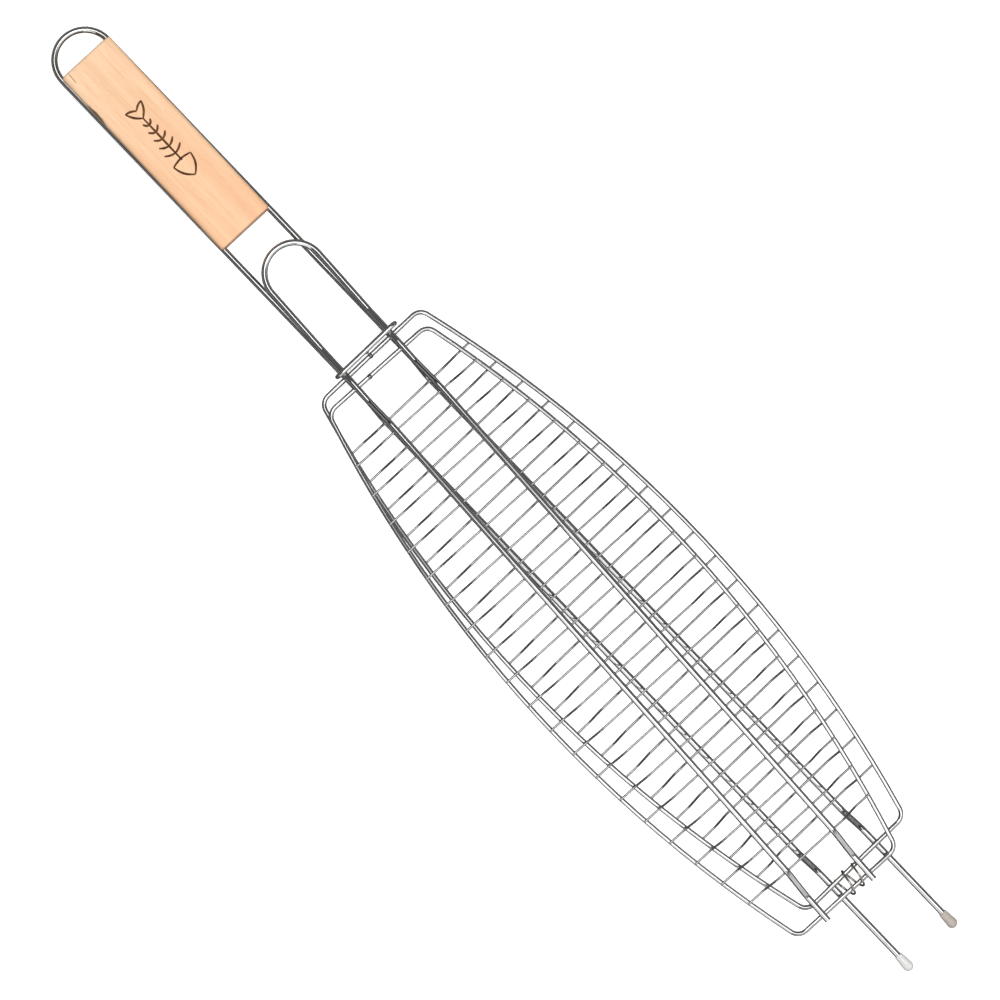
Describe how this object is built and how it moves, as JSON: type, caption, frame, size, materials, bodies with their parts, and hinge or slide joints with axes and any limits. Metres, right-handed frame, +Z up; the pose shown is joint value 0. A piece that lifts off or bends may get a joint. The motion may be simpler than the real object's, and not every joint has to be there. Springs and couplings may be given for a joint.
{
  "type": "grill basket",
  "caption": "Long folding grill basket for fish: two hinged halves of bent steel wire, a U-shaped rod handle with a wooden grip and a sliding locking ring.",
  "frame": {"origin": "under the middle of the closed basket, on the surface it lies on", "axes": "+X along the object from the hanging loop to the legs, +Y across the basket, +Z up from the lower half to the upper half"},
  "size_m": [0.7771, 0.1525, 0.0373],
  "materials": {
    "steel": "bright chrome-plated steel wire",
    "wood": "fine-sanded pale pine, unvarnished",
    "silicone": "translucent silicone"
  },
  "bodies": {
    "lower_half": {"lower_handle_rod": "steel", "lower_frame": "steel", "lower_cross_wire_01": "steel", "lower_cross_wire_02": "steel", "lower_cross_wire_03": "steel", "lower_cross_wire_04": "steel", "lower_cross_wire_05": "steel", "lower_cross_wire_06": "steel", "lower_cross_wire_07": "steel", "lower_cross_wire_08": "steel", "lower_cross_wire_09": "steel", "lower_cross_wire_10": "steel", "lower_cross_wire_11": "steel", "lower_cross_wire_12": "steel", "lower_cross_wire_13": "steel", "lower_cross_wire_14": "steel", "lower_cross_wire_15": "steel", "lower_cross_wire_16": "steel", "lower_cross_wire_17": "steel", "lower_cross_wire_18": "steel", "lower_cross_wire_19": "steel", "wooden_grip": "wood", "leg_cap_left": "silicone", "leg_cap_right": "silicone"},
    "hinge_coil": {"hinge_coil": "steel"},
    "upper_half": {"upper_handle_rod": "steel", "upper_frame": "steel", "upper_cross_wire_01": "steel", "upper_cross_wire_02": "steel", "upper_cross_wire_03": "steel", "upper_cross_wire_04": "steel", "upper_cross_wire_05": "steel", "upper_cross_wire_06": "steel", "upper_cross_wire_07": "steel", "upper_cross_wire_08": "steel", "upper_cross_wire_09": "steel", "upper_cross_wire_10": "steel", "upper_cross_wire_11": "steel", "upper_cross_wire_12": "steel", "upper_cross_wire_13": "steel", "upper_cross_wire_14": "steel", "upper_cross_wire_15": "steel", "upper_cross_wire_16": "steel", "upper_cross_wire_17": "steel", "upper_cross_wire_18": "steel", "upper_cross_wire_19": "steel"},
    "locking_ring": {"locking_ring": "steel"}
  },
  "joints": [
    {"name": "coil_swing", "type": "hinge", "parent": "lower_half", "child": "hinge_coil", "pos_m": [0.3173, 0.00435, 0.01706], "axis": [0, 1, 0], "range_deg": [-25, 12]},
    {"name": "upper_half_opening", "type": "hinge", "parent": "lower_half", "child": "upper_half", "pos_m": [0.32643, -0.0118, 0.02026], "axis": [0.0305, 0.9995, 0], "range_deg": [0, 150]},
    {"name": "ring_slide", "type": "slide", "parent": "lower_half", "child": "locking_ring", "axis": [-1, 0, 0], "range_m": [0, 0.1]}
  ]
}
